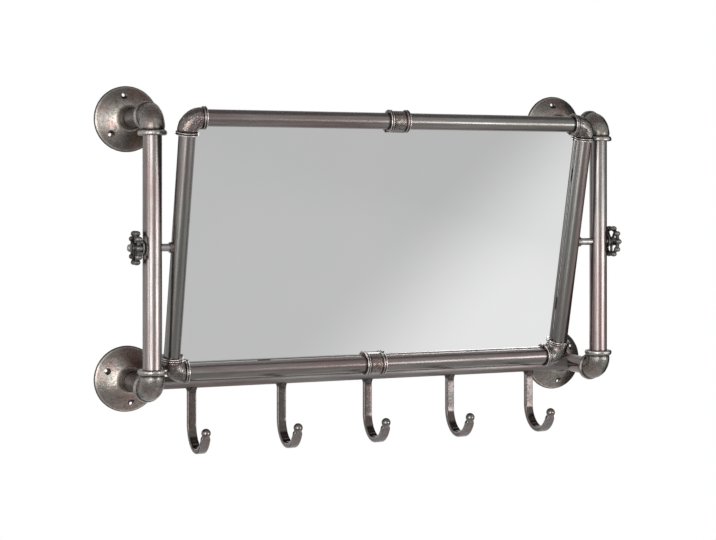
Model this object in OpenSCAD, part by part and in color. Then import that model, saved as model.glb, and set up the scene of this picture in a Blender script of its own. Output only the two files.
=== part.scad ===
// Tilting wall mirror in a pipe frame, on a pipe stand with a rail of hooks.
// Millimetres. X runs along the wall to the right, Y into the wall, Z up.
// The origin lies on the wall, midway between the four flanges.

/* [Stand] */
// Distance between the axes of the two posts
post_spacing = 660; // [540:1:800]
// Height between the top and bottom stub axes
stub_spacing = 352; // [290:1:430]
// Distance from the wall to the post axes
reach = 133; // [110:1:165]
// Outside diameter of posts and stubs
post_d = 25; // [20:0.5:30]
// Wall of the stand pipes
post_wall = 2; // [1:0.25:3]

/* [Flanges] */
// Outside diameter of a wall flange
flange_d = 90; // [75:1:110]
// Height of the flange from the wall to the lip of its neck
flange_h = 34; // [28:1:41]
// Thickness of the flange at its rim
flange_rim = 4; // [3.5:0.5:6]
// Rise of the dome from the rim to the foot of the neck
dome_rise = 15.5; // [8:0.5:18]
// Thickness of the flange's shell, along the stub
flange_shell = 4.5; // [4:0.25:6]
// Distance from the rim to the centre of a screw hole
screw_margin = 12; // [11:0.5:14]
// Diameter of a screw hole
screw_hole_d = 4.5; // [3.5:0.5:6]
// Diameter of the countersink at a screw hole's mouth
countersink_d = 8; // [7:0.5:9]
// Number of screw holes in a flange, evenly spaced
screw_count = 3; // [2:1:6]
// Turn of the top flanges about their stubs, degrees
top_flange_turn = 101; // [0:1:360]
// Turn of the bottom flanges about their stubs, degrees
bottom_flange_turn = 157; // [0:1:360]

/* [Stand elbows] */
// Wall of the elbow body around its pipe
elbow_wall = 4; // [3:0.25:5]
// Radius left inside the elbow's bend
elbow_throat = 1.5; // [1:0.5:5]
// Height of the elbow collar above the body
elbow_bead_rise = 2.75; // [1.5:0.25:3.5]
// Length of the elbow collar
elbow_bead_w = 8; // [6:0.5:10]

/* [Mirror frame] */
// Outside diameter of the frame pipes
frame_d = 22; // [18:0.5:27]
// Wall of the frame pipes
frame_wall = 1.5; // [1:0.25:2.5]
// Mean gap between the collars of the frame and those of the stand
side_clear = 5.5; // [4.5:0.25:12]
// Sideways offset of the frame between the posts
frame_shift = -4; // [-4:0.5:4]
// Least gap between the hook rail and the frame as it tilts past
rail_clear = 2.5; // [1:0.25:12]
// Height of the tilt axis above the middle of the stand
pivot_lift = 6; // [0:0.5:12]
// Tilt of the frame as drawn, top edge away from the wall, degrees
rest_tilt = 13.5; // [-25:0.5:25]

/* [Frame elbows and couplings] */
// Wall of the frame elbow body around its pipe
corner_wall = 2.5; // [2:0.25:4]
// Radius left inside the frame elbow's bend
corner_throat = 3.5; // [2:0.5:10]
// Height of the frame elbow collar above the body
corner_bead_rise = 1.75; // [1:0.25:3]
// Length of the frame elbow collar
corner_bead_w = 5.5; // [4:0.5:8]
// Length of a frame coupling
coupling_w = 29; // [26:1:44]
// Wall of the coupling around the pipes
coupling_wall = 2.75; // [2:0.25:4]
// Height of the coupling collars above its body
coupling_bead_rise = 1.75; // [1:0.25:3]

/* [Glass] */
// Thickness of the mirror glass
glass_t = 3; // [2.5:0.5:5]
// Thickness of the backing panel
backing_t = 5; // [3:0.5:6]

/* [Brackets] */
// Width of a bracket along its pipe
bracket_w = 18; // [14:1:26]
// Thickness of a bracket
bracket_t = 2; // [1.5:0.25:2.5]
// Length of a bracket, from the pipe axis inwards
bracket_l = 36; // [30:1:44]
// Height of the foot between a bracket and the back of its pipe
bracket_foot = 1; // [0.5:0.25:3]
// Distance from a corner to the brackets on the top and bottom pipes
bracket_inset_x = 133; // [70:1:180]
// Distance from a corner to the brackets on the side pipes
bracket_inset_z = 75; // [60:1:100]
// Shank diameter of a bracket screw
bracket_screw_d = 3.5; // [3:0.25:4]

/* [Hook rail] */
// Outside diameter of the hook rail
rail_d = 17; // [14:0.5:18]
// Wall of the hook rail
rail_wall = 1.5; // [1:0.25:2.5]
// Distance from the wall to the rail axis
rail_reach = 60; // [50:1:66]
// Drop of the rail axis below the bottom stub axes
rail_drop = 1; // [0:0.5:3]

/* [Hooks] */
// Distance from a post axis to the nearest hook
hook_margin = 74; // [60:1:110]
// Width of the hook bar
hook_w = 12; // [9:0.5:14]
// Thickness of the hook bar
hook_t = 7; // [5:0.5:8]
// Drop from the rail axis to the start of the bend
hook_stem = 55; // [45:1:75]
// Radius of the bend, to the middle of the bar
hook_bend = 33; // [26:1:40]
// Angle of the bend, degrees
hook_sweep = 171; // [160:1:176]
// Diameter of the ball tip
hook_ball_d = 12.5; // [11:0.5:16]

/* [Handwheels] */
// Outside diameter over the lobes of a wheel
wheel_d = 46; // [40:1:50]
// Thickness of the wheel's lobes, along its axis
wheel_t = 9; // [7:0.5:11]
// Thickness of the ring between the lobes
ring_t = 5; // [4:0.5:6.5]
// Number of lobes on the rim
lobe_count = 10; // [6:1:12]
// Number of spokes
spoke_count = 5; // [3:1:6]
// Diameter of the spindle
spindle_d = 10; // [8:0.5:11]
// Diameter of the spindle end that carries the wheel
spindle_end_d = 7; // [5:0.5:7.5]
// Distance from the post to the wheel rim
wheel_gap = 5; // [3.5:0.5:8]

/* [Fits] */
// Radial clearance between a pipe and its socket
socket_fit = 0.1; // [0.05:0.05:0.2]
// Radial clearance between a spindle and its bores
spindle_fit = 0.05; // [0.02:0.01:0.1]
// Gap between neighbouring faces that rest against each other
face_gap = 0.2; // [0.1:0.05:0.3]

/* [Hidden] */
$fn = 64;
SIDES = ["left", "right"];

// finishes
pipe_colour = [0.42, 0.38, 0.37];
cast_colour = [0.40, 0.36, 0.35];
hook_colour = [0.36, 0.32, 0.31];
wheel_colour = [0.20, 0.18, 0.18];
zinc_colour = [0.62, 0.62, 0.64];
glass_colour = [0.78, 0.80, 0.82];
board_colour = [0.23, 0.20, 0.18];

// places on the stand
post_x = post_spacing / 2;
stub_z = stub_spacing / 2;
post_r = post_d / 2;
elbow_d = post_d + 2 * elbow_wall;
elbow_bead_d = elbow_d + 2 * elbow_bead_rise;
elbow_bend = elbow_d / 2 + elbow_throat;   // bend radius, to the middle of the pipe
elbow_bury = 4;                            // how far a pipe runs past the collar into the bend
end_gap = 0.5;                             // between a pipe's end and the bottom of its socket
bead_bevel = 1.2;
rim_round = 3;                             // rounding of the flange's rim
neck_r = post_r + 1.5;                     // the flange's neck at its lip
screw_pcd = flange_d - 2 * screw_margin;

// hook numbers run from left to right
HOOKS = 5;
hook_pitch = (post_spacing - 2 * hook_margin) / (HOOKS - 1);
rail_z = -stub_z - rail_drop;
weld_h = 6;                                // height of the weld cone under the rail
weld_spread = 2.5;                         // how far the cone's top stands out past the bar
weld_lap = 3;                              // how far the weld rises beside the rail
weld_foot_d = hook_t + 1;                  // foot of the weld cone, on the bar
hook_bevel = 1.6;

// the frame fills the stand from side to side, and clears the rail as it swings past
frame_r = frame_d / 2;
corner_d = frame_d + 2 * corner_wall;
corner_bead_d = corner_d + 2 * corner_bead_rise;
corner_bend = corner_d / 2 + corner_throat;
corner_reach = corner_bend + corner_bead_w;
corner_bury = 3;
coupling_d = frame_d + 2 * coupling_wall;
coupling_bead_d = coupling_d + 2 * coupling_bead_rise;
coupling_bead_w = 6;
coupling_gap = 2;                          // between the two pipe ends inside a coupling
half_w = post_x - elbow_bead_d / 2 - corner_bead_d / 2 - side_clear;
rail_swing = norm([reach - rail_reach, pivot_lift - rail_z]);
half_h = rail_swing - rail_d / 2 - max(corner_bead_d, coupling_bead_d) / 2 - rail_clear;

// the brackets stand on the backs of the pipes and carry the backing and the glass
bracket_y = frame_r + bracket_foot;
backing_y = bracket_y - backing_t;
glass_y = backing_y - glass_t;             // front of the glass, behind the pipe axes
notch_clear = 0.4;
bracket_x = half_w - bracket_inset_x;
bracket_z = half_h - bracket_inset_z;
screw_edge = 8;                            // from a bracket's inner end to its screw
screw_inset = bracket_l - screw_edge;      // from the pipe axis to a bracket screw
screw_head_d = 7;
screw_head_h = 2.4;
slot_l = 0.7 * screw_head_d;               // the cross slot in the screw head
slot_w = 0.8;
slot_h = 1;
screw_grip = 3;                            // depth of a bracket screw in the backing
foot_w = 6;                                // half the width of a bracket's foot

// places on the pivots
rim_x = post_r + wheel_gap;                // inner face of the rim, from the post axis
washer_t = 1.5;
hub_x = post_r + washer_t + 2 * face_gap;  // inner face of the hub
hub_d = 13;
hub_rise = 0.5;                            // how far the hub stands out past the rim
hub_end = rim_x + wheel_t + hub_rise;
nut_t = 4;
nut_d = 11;
nut_cap_h = 3;
nut_cap_d = nut_d - 2.5;                   // foot of the cap, inside the nut's flats
lobe_r = 3.8;
lobe_web = 0.8;                            // how far the ring fills the dips between the lobes
lobe_back = 0.4;                           // ring left behind a lobe
spoke_w = 3.6;
spoke_t = 3.4;
boss_wall = 2;
boss_d = spindle_d + 2 * boss_wall;
boss_l = 2.5;                              // boss left outside the side pipe
spindle_run = 2;                           // how far a spindle stops short of the pipe's axis

function side(name) = name == "left" ? -1 : 1;
function level(name) = name == "bottom" ? -1 : 1;

// a tube along Z between two heights
module tube(od, wall, low, high) {
    difference() {
        translate([0, 0, low]) cylinder(d = od, h = high - low);
        translate([0, 0, low - 1]) cylinder(d = od - 2 * wall, h = high - low + 2);
    }
}

// a collar along Z with bevelled edges, from z = 0 to z = w
module bead(od, w) {
    rotate_extrude()
        polygon([[0, 0], [od / 2 - bead_bevel, 0], [od / 2, bead_bevel],
                 [od / 2, w - bead_bevel], [od / 2 - bead_bevel, w], [0, w]]);
}

// the bent part of an elbow: its ends lie on +X and +Z, its axes cross at the origin
module bend(bend_r, tube_r) {
    translate([bend_r, 0, bend_r])
        rotate([90, 0, 0])
            rotate([0, 0, 180])
                rotate_extrude(angle = 90)
                    translate([bend_r, 0])
                        circle(r = tube_r);
}

// a pipe elbow whose sockets open along +X and +Z
module pipe_elbow(bend_r, body_d, bead_d, bead_w, pipe_d, bore_d, bury) {
    difference() {
        union() {
            bend(bend_r, body_d / 2);
            translate([0, 0, bend_r]) bead(bead_d, bead_w);
            translate([bend_r, 0, 0]) rotate([0, 90, 0]) bead(bead_d, bead_w);
        }
        bend(bend_r, bore_d / 2);
        translate([0, 0, bend_r - bury])
            cylinder(r = pipe_d / 2 + socket_fit, h = bead_w + bury + 1);
        translate([bend_r - bury, 0, 0])
            rotate([0, 90, 0])
                cylinder(r = pipe_d / 2 + socket_fit, h = bead_w + bury + 1);
    }
}

// the flange's outline from the rim, where t = 0, to the lip of the neck, where t = 1:
// a low dome that sweeps up into the neck
dome_foot_r = flange_d / 2 - rim_round / 2;
dome_foot_h = flange_rim - rim_round + rim_round * sin(60);
neck_rise = flange_h - dome_foot_h - dome_rise;
dome_sweep = 80;                           // degrees of a sine over the dome's slope
neck_flare = 24;                           // power that draws the dome up into the neck
dome_crowding = 1.6;                       // power that crowds the outline's points at the neck
function dome_h(t) = dome_foot_h + dome_rise * sin(dome_sweep * t) / sin(dome_sweep)
    + neck_rise * pow(t, neck_flare);
function dome_point(t) = [dome_foot_r - (dome_foot_r - neck_r) * t, dome_h(t)];
function dome_t(r) = (dome_foot_r - r) / (dome_foot_r - neck_r);
function rim_point(angle) = [
    flange_d / 2 - rim_round + rim_round * cos(angle),
    flange_rim - rim_round + rim_round * sin(angle)];

// the flange is hollow at the back, between an inner land round the stub and its rim
back_land = 8;                             // width of the land round the stub
hollow_in = post_r + back_land;
hollow_out = flange_d / 2 - rim_round - 1;
sink_h = dome_h(dome_t(screw_pcd / 2));    // height of the dome at the screw holes
sink_depth = (countersink_d - screw_hole_d) / 2;

// turns its children to each of the screw holes
module at_screws(turn) {
    for (i = [0:screw_count - 1])
        rotate([0, 0, turn + 360 * i / screw_count])
            translate([screw_pcd / 2, 0, 0])
                children();
}

module flange(turn) {
    steps = 16;
    color(cast_colour)
        rotate([90, 0, 0])
            difference() {
                rotate_extrude()
                    polygon(concat(
                        [[0, 0], [flange_d / 2, 0]],
                        [for (angle = [0:15:45]) rim_point(angle)],
                        [for (i = [0:steps]) dome_point(1 - pow(1 - i / steps, dome_crowding))],
                        [[0, flange_h]]));
                translate([0, 0, -1])
                    cylinder(r = post_r + socket_fit, h = flange_h + 2);
                rotate_extrude()
                    polygon(concat(
                        [[hollow_in, -1], [hollow_out, -1]],
                        [for (i = [0:steps])
                            let (r = hollow_out + (hollow_in - hollow_out) * i / steps)
                                [r, max(dome_h(dome_t(r)) - flange_shell, 0.2)]]));
                at_screws(turn) {
                    translate([0, 0, -1]) cylinder(d = screw_hole_d, h = flange_h);
                    translate([0, 0, sink_h - sink_depth])
                        cylinder(d1 = screw_hole_d, d2 = countersink_d + 2 * sink_depth,
                                 h = 2 * sink_depth);
                }
            }
}

module stub() {
    color(pipe_colour)
        rotate([90, 0, 0])
            tube(post_d, post_wall, end_gap, reach - elbow_bend + elbow_bury - end_gap);
}

// sockets open towards the wall and, for the top pair, downwards
module stand_elbow(up) {
    color(cast_colour)
        mirror([0, 0, up > 0 ? 1 : 0])
            rotate([0, 0, 90])
                pipe_elbow(elbow_bend, elbow_d, elbow_bead_d, elbow_bead_w,
                           post_d, post_d - 2 * post_wall, elbow_bury);
}

module post() {
    post_end = stub_z - elbow_bend + elbow_bury - end_gap;
    color(pipe_colour)
        difference() {
            tube(post_d, post_wall, -post_end, post_end);
            translate([-post_d, 0, pivot_lift])
                rotate([0, 90, 0])
                    cylinder(r = spindle_d / 2 + spindle_fit, h = 2 * post_d);
        }
}

module hook_rail() {
    color(pipe_colour)
        difference() {
            translate([0, -rail_reach, rail_z])
                rotate([0, 90, 0])
                    tube(rail_d, rail_wall, -post_x, post_x);
            for (s = [-1, 1])
                translate([s * post_x, 0, -stub_z])
                    rotate([90, 0, 0])
                        cylinder(r = post_r + face_gap, h = reach);
        }
}

// cross-section of the hook bar, with bevelled edges; x is across the bar
module hook_bar() {
    w = hook_w / 2;
    t = hook_t / 2;
    b = hook_bevel;
    polygon([[t, w - b], [t - b, w], [b - t, w], [-t, w - b],
             [-t, b - w], [b - t, -w], [t - b, -w], [t, b - w]]);
}

// a J hook: its stem hangs from the rail axis at the origin, its bend opens towards the room
module hook() {
    color(hook_colour)
        difference() {
            union() {
                translate([0, 0, -hook_stem])
                    rotate([0, 0, 90])
                        linear_extrude(height = hook_stem)
                            hook_bar();
                translate([0, -hook_bend, -hook_stem])
                    rotate([0, -90, 0])
                        rotate([0, 0, 90])
                            rotate_extrude(angle = hook_sweep)
                                translate([hook_bend, 0])
                                    hook_bar();
                translate([0, -hook_bend, -hook_stem])
                    rotate([-hook_sweep, 0, 0])
                        translate([0, hook_bend, 0])
                            sphere(d = hook_ball_d);
                translate([0, 0, -rail_d / 2 - weld_h])
                    cylinder(d1 = weld_foot_d, d2 = hook_w + 2 * weld_spread, h = weld_h + weld_lap);
            }
            rotate([0, 90, 0])
                cylinder(r = rail_d / 2 + face_gap, h = 2 * hook_w, center = true);
            translate([-hook_w, -hook_w, 0])
                cube([2 * hook_w, 2 * hook_w, rail_d]);
        }
}

module clamp_washer() {
    color(zinc_colour)
        rotate([0, 90, 0])
            difference() {
                translate([0, 0, post_r + face_gap])
                    cylinder(d = 2 * spindle_d, h = washer_t);
                cylinder(r = spindle_d / 2 + spindle_fit, h = 2 * post_r + washer_t);
            }
}

module frame_elbow() {
    color(cast_colour)
        pipe_elbow(corner_bend, corner_d, corner_bead_d, corner_bead_w,
                   frame_d, frame_d - 2 * frame_wall, corner_bury);
}

// s is -1 for the left pipe and 1 for the right one
module side_pipe(s) {
    pipe_end = half_h - corner_bend + corner_bury - end_gap;
    color(pipe_colour)
        translate([s * half_w, 0, 0])
            difference() {
                tube(frame_d, frame_wall, -pipe_end, pipe_end);
                rotate([0, s * 90, 0])
                    cylinder(r = spindle_d / 2 + spindle_fit, h = frame_d);
            }
}

// half of the top or bottom pipe, from its elbow to the coupling at the middle
module cross_pipe(s) {
    pipe_end = half_w - corner_bend + corner_bury - end_gap;
    color(pipe_colour)
        rotate([0, s * 90, 0])
            tube(frame_d, frame_wall, coupling_gap / 2, pipe_end);
}

module coupling() {
    color(cast_colour)
        rotate([0, 90, 0])
            difference() {
                union() {
                    cylinder(d = coupling_d, h = coupling_w - coupling_bead_w, center = true);
                    for (s = [0, 1])
                        mirror([0, 0, s])
                            translate([0, 0, coupling_w / 2 - coupling_bead_w])
                                bead(coupling_bead_d, coupling_bead_w);
                }
                cylinder(r = frame_r + socket_fit, h = coupling_w + 2, center = true);
            }
}

// threaded boss on the outer side of a side pipe
module pivot_boss(s) {
    color(cast_colour)
        translate([s * half_w, 0, 0])
            rotate([0, s * 90, 0])
                difference() {
                    cylinder(d = boss_d, h = frame_r + boss_l);
                    rotate([0, 90, 0])
                        cylinder(r = frame_r + face_gap / 2, h = 2 * boss_d, center = true);
                    cylinder(r = spindle_d / 2 + spindle_fit, h = 2 * frame_r);
                }
}

// half the width of a pipe or collar of radius r at the glass, and how far the glass keeps off
function chord(r) = sqrt(r * r - pow(max(glass_y, 0), 2));
function behind(r) = chord(r) + notch_clear;

// outline of the glass: a rectangle with a step cut out for each elbow and coupling
module glass_outline() {
    step = corner_reach + notch_clear;
    bend_edge = (sqrt(2) - 1) * corner_bend + behind(corner_d / 2);
    inset = max(behind(corner_bead_d / 2), bend_edge / sqrt(2));
    w = half_w - behind(frame_r);
    h = half_h - behind(frame_r);
    difference() {
        square([2 * w, 2 * h], center = true);
        for (sx = [-1, 1], sz = [-1, 1])
            translate([sx * half_w, sz * half_h]) {
                square([2 * step, 2 * inset], center = true);
                square([2 * inset, 2 * step], center = true);
            }
        for (sz = [-1, 1])
            translate([0, sz * half_h])
                square([coupling_w + 2 * notch_clear, 2 * behind(coupling_bead_d / 2)],
                       center = true);
    }
}

module mirror_glass() {
    color(glass_colour)
        translate([0, backing_y, 0])
            rotate([90, 0, 0])
                linear_extrude(height = glass_t)
                    glass_outline();
}

// places of the brackets: [x, z, turn], where the turn points the bracket inwards
function bracket_places() = concat(
    [for (x = [-1, 1], z = [-1, 1]) [x * bracket_x, z * half_h, z > 0 ? 90 : -90]],
    [for (x = [-1, 1], z = [-1, 1]) [x * half_w, z * bracket_z, x > 0 ? 180 : 0]]);

// children are drawn with X pointing inwards from the pipe axis and Y towards the wall
module at_brackets() {
    for (place = bracket_places())
        translate([place[0], 0, place[1]])
            rotate([0, place[2], 0])
                children();
}

module mirror_backing() {
    color(board_colour)
        difference() {
            translate([0, bracket_y, 0])
                rotate([90, 0, 0])
                    linear_extrude(height = backing_t)
                        glass_outline();
            at_brackets()
                translate([screw_inset, bracket_y - screw_grip - face_gap, 0])
                    rotate([-90, 0, 0])
                        cylinder(r = bracket_screw_d / 2 + socket_fit, h = backing_t + 1);
        }
}

module backing_brackets() {
    color(zinc_colour)
        at_brackets()
            difference() {
                union() {
                    translate([-foot_w, bracket_y, -bracket_w / 2])
                        cube([foot_w + bracket_l, bracket_t, bracket_w]);
                    translate([-foot_w, 0, -bracket_w / 2])
                        cube([2 * foot_w, bracket_y + bracket_t / 2, bracket_w]);
                }
                cylinder(r = frame_r + face_gap / 2, h = 2 * bracket_w, center = true);
                translate([screw_inset, 0, 0])
                    rotate([-90, 0, 0])
                        cylinder(r = bracket_screw_d / 2 + socket_fit, h = 2 * bracket_y);
            }
}

module bracket_screws() {
    color(zinc_colour)
        at_brackets()
            translate([screw_inset, bracket_y + bracket_t, 0])
                rotate([-90, 0, 0])
                    difference() {
                        union() {
                            translate([0, 0, -bracket_t - screw_grip])
                                cylinder(d = bracket_screw_d, h = bracket_t + screw_grip + 1);
                            cylinder(d = screw_head_d, h = screw_head_h);
                        }
                        for (turn = [0, 90])
                            rotate([0, 0, turn])
                                translate([-slot_l / 2, -slot_w / 2, screw_head_h - slot_h])
                                    cube([slot_l, slot_w, 2 * slot_h]);
                    }
}

// the wheel's ring with its thicker lobes, about the middle of its thickness
module wheel_rim() {
    lobe_ring_r = wheel_d / 2 - lobe_r;
    difference() {
        union() {
            cylinder(r = lobe_ring_r + lobe_web, h = ring_t, center = true);
            for (i = [0:lobe_count - 1])
                rotate([0, 0, 360 * (i + 0.5) / lobe_count])
                    translate([lobe_ring_r, 0, 0])
                        cylinder(r = lobe_r, h = wheel_t, center = true);
        }
        cylinder(r = lobe_ring_r - lobe_r - lobe_back, h = 2 * wheel_t, center = true);
    }
}

// drawn with the wheel's axis along +X, which points away from the post
module handwheel() {
    color(wheel_colour)
        rotate([0, 90, 0])
            difference() {
                union() {
                    translate([0, 0, rim_x + wheel_t / 2]) {
                        wheel_rim();
                        for (i = [0:spoke_count - 1])
                            rotate([0, 0, 360 * i / spoke_count])
                                translate([0, -spoke_w / 2, -spoke_t / 2])
                                    cube([wheel_d / 2 - lobe_r, spoke_w, spoke_t]);
                    }
                    translate([0, 0, hub_x]) cylinder(d = hub_d, h = hub_end - hub_x);
                }
                translate([0, 0, hub_x - 1])
                    cylinder(r = spindle_end_d / 2 + spindle_fit, h = hub_end - hub_x + 2);
            }
}

// s is -1 for the left spindle and 1 for the right one; it ends inside the side pipe
module spindle(s) {
    inner_end = post_x - s * frame_shift - half_w - spindle_run;
    shoulder = hub_x - face_gap / 2;
    color(zinc_colour)
        rotate([0, 90, 0]) {
            translate([0, 0, -inner_end]) cylinder(d = spindle_d, h = inner_end + shoulder);
            translate([0, 0, shoulder - 1])
                cylinder(d = spindle_end_d, h = hub_end + nut_t / 2 - shoulder + 1);
        }
}

// cap nut on the spindle's end
module wheel_nut() {
    color(zinc_colour)
        rotate([0, 90, 0])
            difference() {
                union() {
                    translate([0, 0, hub_end + face_gap / 2])
                        cylinder(d = nut_d, h = nut_t, $fn = 6);
                    translate([0, 0, hub_end + nut_t - 1])
                        cylinder(d1 = nut_cap_d, d2 = nut_d / 2, h = nut_cap_h);
                }
                translate([0, 0, hub_end - 1])
                    cylinder(r = spindle_end_d / 2 + spindle_fit, h = nut_t / 2 + 1 + face_gap);
            }
}

// children are drawn at a stub's foot on the wall
module at_stub(s, v) { translate([s * post_x, 0, v * stub_z]) children(); }

// children are drawn at a post axis, at the height of the tilt axis, with +X away from the frame
module at_pivot(s) {
    translate([s * post_x, -reach, pivot_lift])
        mirror([s < 0 ? 1 : 0, 0, 0])
            children();
}

// children are drawn in the mirror frame's own axes, about the tilt axis
module on_frame() {
    translate([frame_shift, -reach, pivot_lift])
        rotate([rest_tilt, 0, 0])
            children();
}

// children are drawn with the frame's corner at the origin and its sockets on +X and +Z
module at_corner(s, v) {
    on_frame()
        translate([s * half_w, 0, v * half_h])
            mirror([s > 0 ? 1 : 0, 0, 0])
                mirror([0, 0, v > 0 ? 1 : 0])
                    children();
}

for (h = SIDES, v = ["top", "bottom"]) {
    s = side(h);
    u = level(v);
    where = str(v, "_", h);
    at_stub(s, u) flange(u > 0 ? top_flange_turn : bottom_flange_turn);
    at_stub(s, u) stub();
    at_stub(s, u) translate([0, -reach, 0]) stand_elbow(u);
    at_corner(s, u) frame_elbow();
    on_frame() translate([0, 0, u * half_h]) cross_pipe(s);
}

for (h = SIDES) {
    s = side(h);
    translate([s * post_x, -reach, 0]) post();
    on_frame() side_pipe(s);
    on_frame() pivot_boss(s);
    at_pivot(s) clamp_washer();
    at_pivot(s) handwheel();
    at_pivot(s) spindle(s);
    at_pivot(s) wheel_nut();
}

for (v = ["top", "bottom"])
    on_frame() translate([0, 0, level(v) * half_h]) coupling();

for (i = [1:HOOKS])
    translate([(i - 1) * hook_pitch - post_x + hook_margin, -rail_reach, rail_z]) hook();

hook_rail();
on_frame() mirror_glass();
on_frame() mirror_backing();
on_frame() backing_brackets();
on_frame() bracket_screws();
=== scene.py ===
"""Looks of the tilting pipe-frame mirror with hooks. Metres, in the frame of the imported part."""
import math

import bpy
import bmesh
from mathutils import Matrix, Vector, noise


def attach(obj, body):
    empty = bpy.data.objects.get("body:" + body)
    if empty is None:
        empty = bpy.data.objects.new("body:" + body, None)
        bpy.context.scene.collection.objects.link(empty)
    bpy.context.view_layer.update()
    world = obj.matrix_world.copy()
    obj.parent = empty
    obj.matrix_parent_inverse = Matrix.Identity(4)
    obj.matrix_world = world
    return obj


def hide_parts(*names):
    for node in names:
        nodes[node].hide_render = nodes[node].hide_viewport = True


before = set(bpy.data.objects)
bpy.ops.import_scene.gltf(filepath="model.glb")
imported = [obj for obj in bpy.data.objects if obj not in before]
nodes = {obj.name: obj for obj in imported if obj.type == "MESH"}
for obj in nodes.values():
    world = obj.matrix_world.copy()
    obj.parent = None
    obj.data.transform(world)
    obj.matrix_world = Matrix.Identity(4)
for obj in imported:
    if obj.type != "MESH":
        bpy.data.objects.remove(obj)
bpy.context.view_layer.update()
scene = bpy.context.scene
MM = 0.001

# ---------------------------------------------------------------- sizes, in millimetres and degrees
POST_X, STUB_Z = 330.0, 176.0            # from the middle to the axes of posts and stubs
REACH, LIFT = 133.0, 6.0                 # the tilt axis: from the wall, and above the middle
SHIFT, TILT = -4.0, 13.5                 # the mirror frame: its offset sideways, and its lean
HALF_W, HALF_H = 290.0, 170.52           # from the mirror frame's middle to its pipe axes
POST_R, FRAME_R = 12.5, 11.0
SOCKET_GAP = 0.12                        # between a pipe and the mouth of its fitting
FLANGE_SKIN, ELBOW_SKIN, COUPLING_SKIN = 0.14, 0.2, 0.12    # depth of the uneven cast skins
SHARP = 38.0                             # edges that turn further are drawn sharp
SIDES = (("left", -1), ("right", 1))
LEVELS = (("top", 1), ("bottom", -1))

# wall flanges: a rounded rim, a low dome and a neck, with a hollow back
FLANGE_R, FLANGE_H, NECK_R = 45.0, 34.0, 14.0
RIM_LAND, RIM_ROUND, RIM_TURN = 1.0, 3.0, 60
DOME_FOOT_R = FLANGE_R - RIM_ROUND + RIM_ROUND * math.cos(math.radians(RIM_TURN))
DOME_RISE, DOME_SWEEP = 15.5, 80
HOLLOW_IN, HOLLOW_OUT, SHELL = 20.5, 41.0, 4.5
SCREWS, SCREW_CIRCLE_R, SCREW_R, SINK_R = 3, 33.0, 2.25, 4.0
FLANGE_TURN = {"top": 101.0, "bottom": 157.0}
# over the lip of the neck: (radius beyond the bore, depth under the lip, wear and painted light); the
# lip a little lighter, the bore near black as painted shade
NECK_LIP = ((1.35, 2.5, 0.1), (0.98, 1.3, 0.15), (0.53, 0.5, 0.1), (0.08, 0.0, -0.2),
            (0.0, 0.1, -0.6), (0.0, 14.0, -1))

# pipe fittings: their bodies, and the collars at their mouths
STAND_ELBOW = {"pipe_r": POST_R, "bore_r": 10.5, "body_r": 16.5, "top_r": 19.25, "width": 8.0,
               "bend_r": 18.0, "bury": 4.0}
FRAME_ELBOW = {"pipe_r": FRAME_R, "bore_r": 9.5, "body_r": 13.5, "top_r": 15.25, "width": 5.5,
               "bend_r": 17.0, "bury": 3.0}
COUPLING = {"pipe_r": FRAME_R, "body_r": 13.75, "top_r": 15.5, "width": 6.0}
COUPLING_HALF, COUPLING_INSIDE = 14.5, 6.0
# a collar from its mouth inwards: (place in collar widths, depth under its top in rises, wear and
# painted light); ridges and bands lighter, partly wear and partly painted highlight, grooves near
# black as painted shade
ONE_BAND = ((0.0, 0.62, -0.5), (0.04, 0.38, 0.2), (0.11, 0.18, 0.5), (0.20, 0.05, 0.6),
            (0.32, 0.0, 0.5), (0.46, 0.02, 0.4), (0.58, 0.09, 0.4), (0.68, 0.20, 0.5),
            (0.76, 0.36, 0.3))
TWO_RIDGES = ((0.0, 0.34, 0.0), (0.04, 0.14, 0.8), (0.10, 0.02, 1.0), (0.17, 0.0, 0.9),
              (0.24, 0.10, 0.1), (0.32, 0.42, -0.8), (0.42, 0.50, -0.8), (0.51, 0.34, -0.2),
              (0.60, 0.12, 0.5), (0.68, 0.10, 0.6), (0.76, 0.24, 0.1))
# the foot of a collar: a groove painted near black as painted shade
COLLAR_FOOT = ((0.84, 0.66, -0.4), (0.90, 0.95, -0.9), (0.97, 1.20, -1.0), (1.05, 1.20, -0.9),
               (1.14, 1.08, -0.3), (1.26, 1.0, 0.0))

# hooks: a flat bar, welded under the rail, bent up and ended in a ball
HOOK_X = (-256.0, -128.0, 0.0, 128.0, 256.0)
RAIL_Y, RAIL_Z = -60.0, -177.0
HOOK_STEM, HOOK_BEND, HOOK_SWEEP, HOOK_BALL = 55.0, 33.0, 171.0, 6.25
HOOK_HALF_W, HOOK_HALF_T, HOOK_EDGE = 6.0, 3.5, 0.28
TIP_SHEEN_LENGTH, TIP_SHEEN_FADE = 40.0, 16.0        # the stretch before the ball that is painted lighter, most on its outer face: a painted highlight
# across the bar: (place, half width, half thickness, roundness of its edges, wear and painted light);
# painted shade at the weld under the rail, a painted highlight at the neck
HOOK_WELD = ((5.5, 8.5, 6.2, 1.0, -1), (7.2, 8.3, 5.8, 0.95, -0.9), (8.5, 7.9, 5.2, 0.85, -0.5),
             (10.0, 7.2, 4.5, 0.7, 0.0), (12.0, 6.4, 3.8, 0.5, 0.1), (14.5, 6.05, 3.6, 0.32, 0.0))
HOOK_NECK = ((-7.0, 5.75, 3.5, 0.32, 0.0), (-6.0, 5.45, 3.5, 0.4, 0.1), (-5.2, 5.2, 3.7, 0.55, 0.4),
             (-4.6, 5.1, 4.15, 0.8, 0.5), (-4.0, 5.1, 4.7, 0.95, 0.4))

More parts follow.
